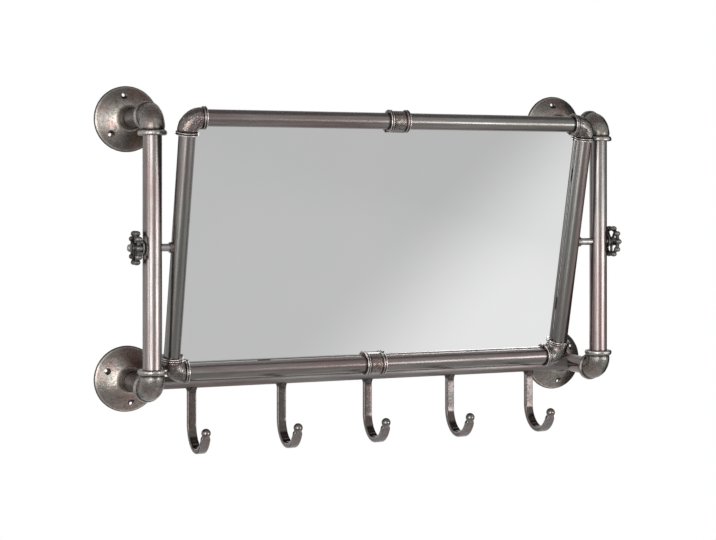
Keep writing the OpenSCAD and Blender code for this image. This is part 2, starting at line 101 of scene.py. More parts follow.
# handwheels and cap nuts: heights run outwards from the post's axis
WHEEL_MID, WHEEL_VOXEL = 22.0, 0.4
RING_R, RING_HALF_W, RING_HALF_H = 17.5, 2.35, 2.4
LOBES, LOBE_OUT, LOBE_R, LOBE_HALF_H = 10, 19.15, 3.75, 4.4
SPOKES, SPOKE_START, SPOKE_LENGTH, SPOKE_HALF = 5, 4.0, 13.5, 1.7
# the hub: (height, radius)
HUB = ((14.45, 5.9), (14.9, 6.3), (16.0, 6.5), (20.0, 6.5), (25.8, 6.4), (26.6, 6.0), (26.95, 5.3))
NUT_BASE, NUT_H, NUT_FLAT, NUT_CORNER = 27.1, 4.0, 4.763, 5.45
NUT_CHAMFER_R, NUT_CHAMFER, CAP_R, CAP_H = 4.7, 0.45, 4.3, 2.0

# glass: the places of its faces behind the pipe axes, and the ground border
GLASS_FRONT, GLASS_BACK, GLASS_BORDER, GLASS_BEVEL = 4.0, 7.0, 1.0, 0.25
GLASS_CLEAR = 0.2

ON_FRAME = (Matrix.Translation(Vector((SHIFT, -REACH, LIFT)))
            @ Matrix.Rotation(math.radians(TILT), 4, "X"))

# ---------------------------------------------------------------- surroundings, in metres
# the floor: its tone climbs across the lane that the mirror shows, a painted light gradient that the
# mirror shows as a painted sheen
FLOOR_Z, FLOOR_HALF = -1.25, 9.0
FLOOR_CENTRE, FLOOR_FADE = (0.5, -1.0, 0.0), (3.3, 4.3)
LANE_X, LANE_Y, LANE_SPAN = 281.5, 259.0, (-301.0, -137.0)
FLOOR_NEAR, FLOOR_FAR = (0.50, 0.502, 0.502), (0.79, 0.792, 0.792)
FLOOR_OWN_NEAR, FLOOR_OWN_FAR = (0.565, 0.565, 0.565), (0.85, 0.85, 0.85)
FLOOR_OWN_SHARE = 0.87
FLAG_LOW, FLAG_HIGH = -1.1, 1.2          # the heights of the standing cards' edges
WORLD_SHOWN, WORLD_LIGHT = 1.0, 0.6      # strength of the white around, where seen and as light


# ---------------------------------------------------------------- node graphs
class Net:
    """A material's node graph, built from short calls."""

    def __init__(self, name):
        self.mat = bpy.data.materials.new(name)
        self.mat.use_nodes = True
        self.tree = self.mat.node_tree
        self.bsdf = self.tree.nodes["Principled BSDF"]
        self.object = self.new("ShaderNodeTexCoord").outputs["Object"]

    def new(self, kind, **props):
        n = self.tree.nodes.new(kind)
        for key, value in props.items():
            setattr(n, key, value)
        return n

    def put(self, socket, value):
        if isinstance(value, bpy.types.NodeSocket):
            self.tree.links.new(value, socket)
        elif isinstance(value, tuple) and len(value) == 3 and socket.type == "RGBA":
            socket.default_value = (*value, 1.0)
        else:
            socket.default_value = value

    def mapped(self, vector, scale=(1, 1, 1), rotation=(0, 0, 0)):
        """The vector stretched first and turned afterwards."""
        n = self.new("ShaderNodeMapping")
        self.put(n.inputs["Vector"], vector)
        n.inputs["Scale"].default_value = scale
        n.inputs["Rotation"].default_value = rotation
        return n.outputs[0]

    def noise(self, vector, scale, detail=3.0, rough=0.55, bend=0.0):
        n = self.new("ShaderNodeTexNoise")
        self.put(n.inputs["Vector"], vector)
        for key, value in (("Scale", scale), ("Detail", detail), ("Roughness", rough),
                           ("Distortion", bend)):
            n.inputs[key].default_value = value
        return n.outputs["Fac"]

    def ramp(self, fac, *stops):
        n = self.new("ShaderNodeValToRGB")
        self.put(n.inputs[0], fac)
        e = n.color_ramp.elements
        while len(e) < len(stops):
            e.new(0.5)
        for slot, (at, colour) in zip(e, stops):
            slot.position = at
            slot.color = (*colour, 1.0)
        return n.outputs[0]

    def span(self, value, a, b, c=0.0, d=1.0, smooth=False):
        n = self.new("ShaderNodeMapRange")
        n.interpolation_type = "SMOOTHSTEP" if smooth else "LINEAR"
        for i, v in enumerate((value, a, b, c, d)):
            self.put(n.inputs[i], v)
        return n.outputs[0]

    def math(self, kind, a, b=0.0):
        n = self.new("ShaderNodeMath", operation=kind)
        self.put(n.inputs[0], a)
        self.put(n.inputs[1], b)
        return n.outputs[0]

    def mix(self, fac, a, b, blend="MIX"):
        n = self.new("ShaderNodeMix", data_type="RGBA", blend_type=blend)
        self.put(n.inputs["Factor"], fac)
        self.put(n.inputs[6], a)
        self.put(n.inputs[7], b)
        return n.outputs[2]

    def attribute(self, name):
        return self.new("ShaderNodeAttribute", attribute_name=name).outputs["Fac"]

    def bump(self, height, distance, strength=1.0, normal=None):
        n = self.new("ShaderNodeBump")
        self.put(n.inputs["Height"], height)
        n.inputs["Distance"].default_value = distance
        n.inputs["Strength"].default_value = strength
        if normal is not None:
            self.put(n.inputs["Normal"], normal)
        return n.outputs[0]

    def surface(self, **values):
        for key, value in values.items():
            self.put(self.bsdf.inputs[key.replace("_", " ")], value)
        return self.mat


def seen_ray(tree):
    """1 for rays that show a surface, directly, mirrored or through glass, and 0 for other light."""
    rays = tree.nodes.new("ShaderNodeLightPath").outputs
    highest = rays["Is Camera Ray"]
    for kind in ("Is Glossy Ray", "Is Transmission Ray"):
        larger = tree.nodes.new("ShaderNodeMath")
        larger.operation = "MAXIMUM"
        tree.links.new(highest, larger.inputs[0])
        tree.links.new(rays[kind], larger.inputs[1])
        highest = larger.outputs[0]
    return highest


def drawn_pipe(name, rotation, along, tint=1.0, dull=0.0):
    """Antiqued drawn tube: grey steel under wine-brown and greenish patina, with long dull streaks."""
    g = Net(name)
    upright = g.mapped(g.object, rotation=rotation)

    def shade(red, green, blue):
        return (red * tint, green * tint, blue * tint)

    def drawn_out(share):
        """Coordinates in which a pattern stretches along the pipe."""
        return g.mapped(upright, tuple(share if axis == along else 1.0 for axis in "xyz"))

    lines, clouds = drawn_out(0.045), drawn_out(0.15)
    fine = g.noise(lines, 900, 4, 0.6)
    broad = g.noise(lines, 190, 3, 0.6)
    patch = g.noise(clouds, 42, 5, 0.62, 0.5)
    hue = g.noise(clouds, 17, 3, 0.6, 0.3)
    speck = g.noise(g.object, 1500, 2, 0.6)
    base = g.ramp(hue, (0.36, shade(0.225, 0.228, 0.212)), (0.48, shade(0.270, 0.252, 0.243)),
                  (0.60, shade(0.245, 0.190, 0.184)))
    base = g.mix(g.span(patch, 0.42, 0.72, 0.0, 0.55), base, shade(0.150, 0.108, 0.104))
    base = g.mix(g.span(broad, 0.45, 0.70, 0.0, 0.40), base, shade(0.115, 0.104, 0.10))
    base = g.mix(g.span(fine, 0.48, 0.75, 0.0, 0.35), base, shade(0.40, 0.375, 0.36))
    rough = g.math("ADD", g.span(patch, 0.35, 0.65, 0.19 + dull, 0.27 + dull),
                   g.span(broad, 0.3, 0.7, 0.0, 0.07))
    normal = g.bump(g.noise(clouds, 60, 2, 0.5), 0.0005, 0.5)
    normal = g.bump(broad, 0.00003, 0.6, normal)
    normal = g.bump(g.math("ADD", fine, g.math("MULTIPLY", speck, 0.3)), 0.000012, 0.6, normal)
    return g.surface(Base_Color=base, Metallic=1.0, Roughness=rough, Normal=normal)


def casting(name, green, wine, grey, wear_and_light, rough, grain, lumps, blotch=0.45, speck=0.5):
    """Antiqued cast metal: grey-green and wine patina and a lumpy sand-cast skin that glints.
    An attribute of wear and painted light paints ridges and edges lighter, partly wear and partly
    painted highlight, and paints grooves, mouths and bores near black as painted shade."""
    g = Net(name)
    wear_and_painted_light = g.attribute("wear_and_painted_light")
    hue = g.noise(g.object, 34, 4, 0.6, 0.4)
    cloud = g.noise(g.object, 85, 5, 0.65, 0.6)
    mottle = g.noise(g.object, 310, 4, 0.68, 0.3)
    sand = g.noise(g.object, 560, 3, 0.62)
    fine = g.noise(g.object, 1300, 3, 0.6)
    base = g.ramp(hue, (0.36, green), (0.50, grey), (0.62, wine))
    dark = tuple(0.36 * v for v in wine)
    base = g.mix(g.span(cloud, 0.44, 0.70, 0.0, blotch), base, dark)
    base = g.mix(g.span(mottle, 0.46, 0.68, 0.0, 0.2 + blotch), base, dark)
    # light specks: partly bare metal in the sand-cast skin, partly painted glints
    base = g.mix(g.span(sand, 0.54, 0.74, 0.0, speck), base, wear_and_light)
    # lighter where the attribute is above zero: partly wear, partly painted highlight
    rub_and_highlight = g.math("MULTIPLY", g.span(wear_and_painted_light, 0.0, 1.0), g.span(mottle, 0.25, 0.65, 1.0, 0.55))
    base = g.mix(rub_and_highlight, base, wear_and_light)
    # painted shade: near black where the attribute is below zero, in grooves, mouths and bores
    base = g.mix(g.span(wear_and_painted_light, -1.0, 0.0, 0.9, 0.0), base, (0.022, 0.018, 0.017))
    polish = g.span(wear_and_painted_light, 0.0, 1.0, 0.0, -0.08)
    roughness = g.math("ADD", g.span(mottle, 0.3, 0.7, rough - 0.07, rough + 0.10), polish)
    normal = g.bump(cloud, 0.0009 * lumps, 0.5)
    normal = g.bump(mottle, 0.00035 * grain, 0.7, normal)
    normal = g.bump(sand, 0.00022 * grain, 0.6, normal)
    normal = g.bump(fine, 0.00003 * grain, 0.5, normal)
    return g.surface(Base_Color=base, Metallic=1.0, Roughness=roughness, Normal=normal)


def mat_plain_steel():
    g = Net("plain_steel")
    cloud = g.noise(g.object, 90, 4, 0.6)
    fine = g.noise(g.mapped(g.object, (0.12, 1.0, 1.0)), 1400, 3, 0.6)
    base = g.mix(g.span(cloud, 0.35, 0.7), (0.36, 0.35, 0.345), (0.22, 0.21, 0.205))
    base = g.mix(g.span(fine, 0.5, 0.8, 0.0, 0.4), base, (0.5, 0.49, 0.48))
    normal = g.bump(fine, 0.00002, 0.5)
    return g.surface(Base_Color=base, Metallic=1.0, Roughness=g.span(cloud, 0.3, 0.7, 0.26, 0.42),
                     Normal=normal)


def mat_mirror():
    g = Net("mirror")
    haze = g.noise(g.object, 7, 4, 0.6)
    dust = g.noise(g.object, 900, 2, 0.5)
    base = g.mix(g.span(haze, 0.3, 0.7), (0.90, 0.905, 0.90), (0.885, 0.89, 0.89))
    rough = g.math("ADD", g.span(haze, 0.3, 0.7, 0.0, 0.012), g.span(dust, 0.62, 0.8, 0.0, 0.02))
    return g.surface(Base_Color=base, Metallic=1.0, Roughness=rough)


def mat_glass_edge_painted_shade():
    """Ground border and sides of the glass, painted near black as painted shade at the gap beside the
    pipes.
    """
    g = Net("mirror_edge_painted_shade")
    cut = g.noise(g.mapped(g.object, (1.0, 6.0, 1.0)), 400, 3, 0.6)
    # painted shade: near black on the border and the sides of the glass
    base = g.mix(g.span(cut, 0.3, 0.7), (0.018, 0.020, 0.020), (0.05, 0.055, 0.052))
    return g.surface(Base_Color=base, Roughness=g.span(cut, 0.3, 0.7, 0.18, 0.34), IOR=1.52,
                     Normal=g.bump(cut, 0.00005, 0.4))


def mat_mirror_back():
    g = Net("mirror_back")
    speck = g.noise(g.object, 700, 3, 0.6)
    base = g.mix(g.span(speck, 0.3, 0.7), (0.16, 0.17, 0.18), (0.22, 0.23, 0.24))
    return g.surface(Base_Color=base, Roughness=0.55, Normal=g.bump(speck, 0.00003, 0.4))


def mat_board():
    g = Net("backing_board")
    fibre = g.noise(g.mapped(g.object, (1.0, 1.0, 3.5), (0, 0.6, 0)), 420, 4, 0.7, 0.8)
    other = g.noise(g.mapped(g.object, (3.0, 1.0, 1.0), (0, -0.4, 0)), 380, 4, 0.7, 0.8)
    cloud = g.noise(g.object, 14, 4, 0.6)
    both = g.math("MULTIPLY", g.math("ADD", fibre, other), 0.5)
    base = g.ramp(both, (0.36, (0.13, 0.095, 0.07)), (0.50, (0.215, 0.165, 0.125)),
                  (0.64, (0.31, 0.25, 0.195)))
    base = g.mix(g.span(cloud, 0.35, 0.65, 0.0, 0.35), base, (0.17, 0.125, 0.095))
    return g.surface(Base_Color=base, Roughness=g.span(both, 0.35, 0.65, 0.7, 0.9),
                     Normal=g.bump(both, 0.00012, 0.5))


def mat_floor():
    """Pale floor whose tone rises across it, a painted light gradient that the mirror shows as a
    painted sheen, and passes far out into the white background.
    Seen directly or mirrored it mostly glows with that painted tone, so only a soft shadow shows."""
    g = Net("floor")
    xyz = g.new("ShaderNodeSeparateXYZ")
    g.put(xyz.inputs[0], g.object)
    lane = g.math("ADD", g.math("MULTIPLY", xyz.outputs[0], LANE_X),
                  g.math("MULTIPLY", xyz.outputs[1], LANE_Y))
    grain = g.noise(g.object, 60, 4, 0.6)
    # painted light: the tone's rise across the lane, which the mirror shows as a painted sheen
    step = g.span(lane, *LANE_SPAN, 0.0, 1.0, True)
    tone = g.mix(step, FLOOR_NEAR, FLOOR_FAR)
    tone = g.mix(g.span(grain, 0.3, 0.7, 0.0, 0.02), tone, (0.45, 0.45, 0.45))
    g.surface(Base_Color=tone, Roughness=0.9, Specular_IOR_Level=0.1,
              Normal=g.bump(grain, 0.0003, 0.2))
    own = g.new("ShaderNodeEmission")
    g.put(own.inputs[0], g.mix(step, FLOOR_OWN_NEAR, FLOOR_OWN_FAR))
    lit = g.new("ShaderNodeMixShader")
    g.put(lit.inputs[0], g.math("MULTIPLY", seen_ray(g.tree), FLOOR_OWN_SHARE))
    g.put(lit.inputs[1], g.bsdf.outputs[0])
    g.put(lit.inputs[2], own.outputs[0])
    shift = g.new("ShaderNodeVectorMath", operation="SUBTRACT")
    g.put(shift.inputs[0], g.object)
    shift.inputs[1].default_value = FLOOR_CENTRE
    far = g.new("ShaderNodeVectorMath", operation="LENGTH")
    g.put(far.inputs[0], shift.outputs[0])
    blend = g.new("ShaderNodeMixShader")
    g.put(blend.inputs[0], g.span(far.outputs["Value"], *FLOOR_FADE, 0.0, 1.0, True))
    g.put(blend.inputs[1], lit.outputs[0])
    g.put(blend.inputs[2], g.new("ShaderNodeEmission").outputs[0])
    g.put(g.tree.nodes["Material Output"].inputs[0], blend.outputs[0])
    return g.mat


def mat_card(name, tone):
    g = Net(name)
    weave = g.noise(g.object, 120, 3, 0.6)
    base = g.mix(weave, (tone, tone, tone), (tone * 1.15, tone * 1.15, tone * 1.15))
    return g.surface(Base_Color=base, Roughness=0.95, Specular_IOR_Level=0.0)


UPRIGHT, LEANING = (0, 0, 0), (math.radians(-TILT), 0, 0)
PIPE_Z = drawn_pipe("pipe_steel_upright", UPRIGHT, "z", 0.85)
# turned about its length, so that the right post shows another part of the pattern, and given a darker
# tint than the left post as painted shade
PIPE_Z_RIGHT_SHADED = drawn_pipe("pipe_steel_upright_right_painted_shade", (0, 0, 0.6), "z", 0.78)
PIPE_Y = drawn_pipe("pipe_steel_stub", UPRIGHT, "y", 0.85)
# the rail: a darker tint than the stubs as painted shade under the bottom pipe, and rougher
PIPE_X_RAIL_SHADED = drawn_pipe("pipe_steel_rail_painted_shade", UPRIGHT, "x", 0.78, dull=0.20)
FRAME_Z = drawn_pipe("pipe_steel_frame_side", LEANING, "z", 0.72)
FRAME_X = drawn_pipe("pipe_steel_frame_cross", LEANING, "x", 0.75)
CASTING = casting("casting", (0.205, 0.205, 0.183), (0.235, 0.175, 0.158), (0.235, 0.218, 0.198),
                  (0.50, 0.47, 0.44), rough=0.28, grain=1.2, lumps=0.8)
CORNER = casting("casting_frame", (0.134, 0.134, 0.121), (0.162, 0.112, 0.103),
                 (0.162, 0.146, 0.137), (0.72, 0.69, 0.67), rough=0.16, grain=1.7, lumps=1.8,
                 blotch=0.5, speck=0.6)
FLANGE = casting("casting_flange", (0.205, 0.203, 0.180), (0.26, 0.185, 0.165),
                 (0.26, 0.235, 0.215), (0.54, 0.49, 0.45), rough=0.30, grain=0.9, lumps=0.6)
HOOK = casting("hook_steel", (0.081, 0.078, 0.073), (0.088, 0.060, 0.057), (0.097, 0.081, 0.077),
               (0.42, 0.385, 0.37), rough=0.14, grain=0.12, lumps=0.2, blotch=0.3, speck=0.12)
IRON = casting("wheel_iron", (0.07, 0.07, 0.068), (0.085, 0.068, 0.064), (0.11, 0.105, 0.10),
               (0.30, 0.29, 0.28), rough=0.38, grain=1.3, lumps=1.0)
STEEL = mat_plain_steel()
MIRROR, MIRROR_EDGE_PAINTED_SHADE, MIRROR_BACK = mat_mirror(), mat_glass_edge_painted_shade(), mat_mirror_back()
BOARD = mat_board()


# ---------------------------------------------------------------- mesh helpers
def set_wear_and_painted_light(mesh, values):
    mesh.attributes.new("wear_and_painted_light", "FLOAT", "POINT").data.foreach_set("value", values)


def piece(name, verts, faces, material, at, wear_and_painted_light=None, sharp=SHARP):
    """A mesh from points in millimetres, which at places in the row frame."""
    mesh = bpy.data.meshes.new(name)
    scale = Matrix.Diagonal((MM, MM, MM, 1.0))
    mesh.from_pydata([tuple(scale @ (at @ Vector(v))) for v in verts], [], faces)
    mesh.validate()
    if wear_and_painted_light is not None:
        set_wear_and_painted_light(mesh, wear_and_painted_light)
    obj = bpy.data.objects.new(name, mesh)
    scene.collection.objects.link(obj)
    mesh.materials.append(material)
    bm = bmesh.new()
    bm.from_mesh(mesh)
    bmesh.ops.recalc_face_normals(bm, faces=bm.faces)
    bm.to_mesh(mesh)
    bm.free()
    mesh.shade_smooth()
    if sharp:
        mesh.set_sharp_from_angle(angle=math.radians(sharp))
    return obj


def apply_modifiers(obj):
    """Keeps the result of the object's modifiers as its mesh."""
    got = bpy.data.meshes.new_from_object(
        obj.evaluated_get(bpy.context.evaluated_depsgraph_get()))
    obj.modifiers.clear()
    obj.data = got


def circle(x, y, z, r, steps):
    return [Vector((x + r * math.cos(a), y + r * math.sin(a), z))
            for a in (2 * math.pi * k / steps for k in range(steps))]


def rings(rows, closed=True):
    """Points and faces of rows, each a closed ring; closed joins the last row to the first."""
    verts = [p for row in rows for p in row]
    n, count = len(rows[0]), len(rows)
    faces = []
    for i in range(count if closed else count - 1):
        a, b = i * n, ((i + 1) % count) * n
        faces += [(a + j, a + (j + 1) % n, b + (j + 1) % n, b + j) for j in range(n)]
    return verts, faces


def capped(rows):
    """Rows as in rings, with a flat face over the first and the last."""
    verts, faces = rings(rows, closed=False)
    n = len(rows[0])
    faces.append(tuple(range(n))[::-1])
    faces.append(tuple(range(len(verts) - n, len(verts))))
    return verts, faces


def peak(x, at, width):
    """A smooth peak of height 1."""
    return math.exp(-((x - at) / width) ** 2)


def rounded(angle, power):
    """A point on a square with rounded corners; power 1 is a circle."""
    c, s = math.cos(angle), math.sin(angle)
    return math.copysign(abs(c) ** power, c), math.copysign(abs(s) ** power, s)


def roughen(p, out, depth, seed):
    """Sinks a point against out by smooth noise, for a cast skin."""
    q = Vector(p)
    v = noise.noise(q * 0.16 + seed) + 0.5 * noise.noise(q * 0.45 - seed)
    return q - out * (depth * max(0.0, 0.6 + v))


def lathe(profile, steps, depth, seed, smooth_to):
    """Closed profile [(radius, height, wear and painted light)] turned about +Z, rough beyond the
    radius smooth_to.
    """
    rows, wear_and_painted_light = [], []
    for r, z, wear_and_light in profile:
        row = []
        for k in range(steps):
            a = 2 * math.pi * k / steps
            out = Vector((math.cos(a), math.sin(a), 0))
            p = Vector((r * out.x, r * out.y, z))
            row.append(roughen(p, out, depth, seed) if r > smooth_to else p)
        rows.append(row)
        wear_and_painted_light += [wear_and_light] * steps
    verts, faces = rings(rows)
    return verts, faces, wear_and_painted_light


def cut(obj, tools):
    """Subtracts the tools, removes them, and clears slivers that the cuts leave."""
    for tool in tools:
        m = obj.modifiers.new("cut", "BOOLEAN")
        m.operation, m.solver, m.object = "DIFFERENCE", "EXACT", tool
        apply_modifiers(obj)
    for tool in tools:
        bpy.data.objects.remove(tool, do_unlink=True)
    bm = bmesh.new()
    bm.from_mesh(obj.data)
    bmesh.ops.triangulate(bm, faces=[f for f in bm.faces if len(f.verts) > 4])
    bmesh.ops.remove_doubles(bm, verts=bm.verts, dist=0.01 * MM)
    bmesh.ops.dissolve_degenerate(bm, dist=0.01 * MM, edges=bm.edges)
    bmesh.ops.triangulate(bm, faces=bm.faces)
    seen = {}
    for f in bm.faces:
        seen.setdefault(frozenset(f.verts), []).append(f)
    bmesh.ops.delete(bm, geom=[f for same in seen.values() if len(same) > 1 for f in same],
                     context="FACES")
    bm.to_mesh(obj.data)
    bm.free()
    obj.data.set_sharp_from_angle(angle=math.radians(SHARP))


def remesh(obj, voxel, smoothings):
    """Melts overlapping shells into one skin."""
    m = obj.modifiers.new("remesh", "REMESH")
    m.mode, m.voxel_size, m.use_smooth_shade = "VOXEL", voxel * MM, True
    s = obj.modifiers.new("smooth", "SMOOTH")
    s.factor, s.iterations = 0.5, smoothings
    apply_modifiers(obj)


def joined(name, parts, material, at):
    """One mesh from several closed shells [(verts, faces)]."""
    verts, faces = [], []
    for v, f in parts:
        base = len(verts)
        verts += v
        faces += [tuple(i + base for i in face) for face in f]
    return piece(name, verts, faces, material, at, sharp=None)


def place(obj, body, replaces):
    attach(obj, body)
    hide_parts(replaces)


# ---------------------------------------------------------------- flanges
def dome(r):
    """Height of the flange's outside at a radius: a low dome drawn up into the neck."""
    t = (DOME_FOOT_R - r) / (DOME_FOOT_R - NECK_R)
    foot = RIM_LAND + RIM_ROUND * math.sin(math.radians(RIM_TURN))
    sweep = math.radians(DOME_SWEEP)
    neck = FLANGE_H - foot - DOME_RISE
    return foot + DOME_RISE * math.sin(sweep * t) / math.sin(sweep) + neck * t ** 24


def flange_profile():
    """Closed outline (radius, height, wear and painted light): land, hollow back, rim, dome and neck.
    The bore, hollow back and the rim's wall are painted near black as painted shade; a thin painted
    highlight runs inside the rim, a band near the shoulder is lighter, partly wear and partly painted
    highlight, and the neck's foot is a touch darker as painted shade.
    """
    bore = POST_R + SOCKET_GAP
    # painted shade: the bore and the hollow back go near black
    pts = [(bore, 0.0, -1), (HOLLOW_IN, 0.0, -0.4)]
    for i in range(13):
        r = HOLLOW_IN + (HOLLOW_OUT - HOLLOW_IN) * i / 12
        pts.append((r, max(dome(r) - SHELL, 0.2), -0.5))
    # painted shade: the land and the rim's outer wall go near black
    pts += [(HOLLOW_OUT, 0.0, -0.4), (FLANGE_R - 0.5, 0.0, -0.6), (FLANGE_R - 0.1, 0.25, -0.9),
            (FLANGE_R, 0.7, -0.9)]
    # the rim's rounding: painted shade on its wall, lighter on its top as painted highlight
    for a in range(0, RIM_TURN + 1, 6):
        out, up = math.cos(math.radians(a)), math.sin(math.radians(a))
        pts.append((FLANGE_R - RIM_ROUND + RIM_ROUND * out, RIM_LAND + RIM_ROUND * up,
                    -0.8 if a < 50 else 0.4))
    steps = 56
    for i in range(1, steps):
        t = 1 - (1 - i / steps) ** 1.6
        # a painted highlight in a thin line inside the rim, a lighter band near the shoulder that is
        # partly wear and partly painted highlight, and painted shade at the neck's foot
        wear_and_light = 0.30 * peak(t, 0.86, 0.09) - 0.05 * peak(t, 0.975, 0.02) + 1.1 * peak(t, 0.028, 0.022)
        r = DOME_FOOT_R - (DOME_FOOT_R - NECK_R) * t
        pts.append((r, dome(r), wear_and_light))
    return pts + [(bore + out, FLANGE_H - down, wear_and_light) for out, down, wear_and_light in NECK_LIP]


def screw_hole(turn, at):
    """What cuts one countersunk hole: from behind the wall's plane to clear of the dome."""
    x, y = SCREW_CIRCLE_R * math.cos(turn), SCREW_CIRCLE_R * math.sin(turn)
    face, flare, wide_r = dome(SCREW_CIRCLE_R), SINK_R - SCREW_R, 6.5
    rows = [circle(x, y, z, r, 40) for r, z in (
        (SCREW_R, -2.0), (SCREW_R, face - flare), (SINK_R + flare, face + flare),
        (wide_r, face + 9.0))]
    return piece("tool", *capped(rows), FLANGE, at)


def make_flange(v, h, sv, sh):
    seed = Vector((sh * 31.0, sv * 17.0, 5.0))
    verts, faces, wear_and_painted_light = lathe(flange_profile(), 144, FLANGE_SKIN, seed, NECK_R + 0.5)
    at = (Matrix.Translation(Vector((sh * POST_X, 0, sv * STUB_Z)))
          @ Matrix.Rotation(math.radians(90), 4, "X"))
    flange = piece("flange_cover_" + v + "_" + h, verts, faces, FLANGE, at, wear_and_painted_light)
    cut(flange, [screw_hole(math.radians(FLANGE_TURN[v] + 360 * i / SCREWS), at)
                 for i in range(SCREWS)])
    place(flange, "wall_stand", f"flange_{v}_{h}")


# ---------------------------------------------------------------- elbows and couplings
def collar(pipe_r, body_r, top_r, width, shape):
    """From the mouth inwards: (place, radius, wear and painted light); the mouth is painted near black
    as painted shade.
    """
    rise = top_r - body_r
    # painted shade: the mouth near black
    mouth = [(0.0, pipe_r + SOCKET_GAP, -1), (0.0, pipe_r + 0.5, -0.9)]
    return mouth + [(s * width, top_r - deep * rise, wear_and_light) for s, deep, wear_and_light in shape + COLLAR_FOOT]


def elbow(name, material, at, seed, shape, *, pipe_r, bore_r, body_r, top_r, width, bend_r, bury):
    """Sockets open along +X and +Z; the axes cross at the origin."""
    steps, bends = 96, 30
    rows, wear_and_painted_light = [], []

    def ring(pos, out, r, wear_and_light, cast=True):
        row = []
        for k in range(steps):
            a = 2 * math.pi * k / steps
            side = out * math.cos(a) + Vector((0, 1, 0)) * math.sin(a)
            p = pos + side * r
            row.append(roughen(p, side, ELBOW_SKIN, seed) if cast else p)
        rows.append(row)
        wear_and_painted_light.extend([wear_and_light] * steps)

    def on_arc(a):
        """Point and outward direction on the bend, degrees from the upper socket."""
        out = Vector((-math.cos(math.radians(a)), 0, -math.sin(math.radians(a))))
        return Vector((bend_r, 0, bend_r)) + out * bend_r, out

    stations = [(width - s, r, wear_and_light) for s, r, wear_and_light in collar(pipe_r, body_r, top_r, width, shape)]
    straight = [station for station in stations if station[0] >= 0]
    turned = [(math.degrees(-z / bend_r), r, wear_and_light) for z, r, wear_and_light in stations if z < 0]
    start = turned[-1][0]
    plain = [(start + (90 - 2 * start) * i / bends, body_r, 0.0) for i in range(1, bends)]
    up, across = Vector((-1, 0, 0)), Vector((0, 0, -1))
    for z, r, wear_and_light in straight:
        ring(Vector((0, 0, bend_r + z)), up, r, wear_and_light, r > pipe_r + 1)
    for a, r, wear_and_light in turned + plain + [(90 - a, r, wear_and_light) for a, r, wear_and_light in reversed(turned)]:
        ring(*on_arc(a), r, wear_and_light)
    for z, r, wear_and_light in reversed(straight):
        ring(Vector((bend_r + z, 0, 0)), across, r, wear_and_light, r > pipe_r + 1)
    # the inside, back from the second mouth to the first, painted near black as painted shade
    seat, socket_r = bend_r - bury, pipe_r + SOCKET_GAP
    for r in (socket_r, bore_r):
        ring(Vector((seat, 0, 0)), across, r, -1.0, False)
    for a in (70, 55, 45, 35, 20):
        ring(*on_arc(a), bore_r, -1.0, False)
    for r in (bore_r, socket_r):
        ring(Vector((0, 0, seat)), up, r, -1.0, False)
    return piece(name, *rings(rows), material, at, wear_and_painted_light)


def make_stand_elbow(v, h, sv, sh):
    at = (Matrix.Translation(Vector((sh * POST_X, -REACH, sv * STUB_Z)))
          @ Matrix.Diagonal((1, 1, -sv, 1))
          @ Matrix.Rotation(math.radians(90), 4, "Z"))
    obj = elbow("stand_elbow_cast_" + v + "_" + h, CASTING, at, Vector((sh * 9.0, sv * 23.0, 1.0)),
                ONE_BAND, **STAND_ELBOW)
    place(obj, "wall_stand", f"stand_elbow_{v}_{h}")


def make_frame_elbow(v, h, sv, sh):
    at = (ON_FRAME @ Matrix.Translation(Vector((sh * HALF_W, 0, sv * HALF_H)))
          @ Matrix.Diagonal((-sh, 1, -sv, 1)))
    obj = elbow("frame_elbow_cast_" + v + "_" + h, CORNER, at, Vector((sh * 13.0, sv * 7.0, 3.0)),
                TWO_RIDGES, **FRAME_ELBOW)
    place(obj, "mirror_frame", f"frame_elbow_{v}_{h}")


def make_coupling(v, sv):
    mouth = collar(**COUPLING, shape=TWO_RIDGES)
    plain = COUPLING_HALF - 1.2 * COUPLING["width"]
    prof = [(r, s - COUPLING_HALF, wear_and_light) for s, r, wear_and_light in mouth]
    prof += [(COUPLING["body_r"], -plain + plain * i / 6, 0.0) for i in range(1, 12)]
    prof += [(r, COUPLING_HALF - s, wear_and_light) for s, r, wear_and_light in reversed(mouth)]
    # the inside, painted near black as painted shade
    prof += [(FRAME_R + SOCKET_GAP, COUPLING_INSIDE, -1), (FRAME_R + SOCKET_GAP, -COUPLING_INSIDE, -1)]
    seed = Vector((3.0, sv * 11.0, 2.0))
    verts, faces, wear_and_painted_light = lathe(prof, 112, COUPLING_SKIN, seed, FRAME_R + 1)
    at = (ON_FRAME @ Matrix.Translation(Vector((0, 0, sv * HALF_H)))
          @ Matrix.Rotation(math.radians(90), 4, "Y"))
    obj = piece("coupling_cast_" + v, verts, faces, CORNER, at, wear_and_painted_light)
    place(obj, "mirror_frame", f"coupling_{v}")


# ---------------------------------------------------------------- hooks
def on_hook(s):
    """Point and outward direction at a way s past the bend's start; past the tip it runs straight."""
    a = max(0.0, min(s / HOOK_BEND, math.radians(HOOK_SWEEP)))
    over = s - a * HOOK_BEND
    out, along = Vector((0, math.cos(a), -math.sin(a))), Vector((0, -math.sin(a), -math.cos(a)))
    return Vector((0, -HOOK_BEND, -HOOK_STEM)) + out * HOOK_BEND + along * over, out


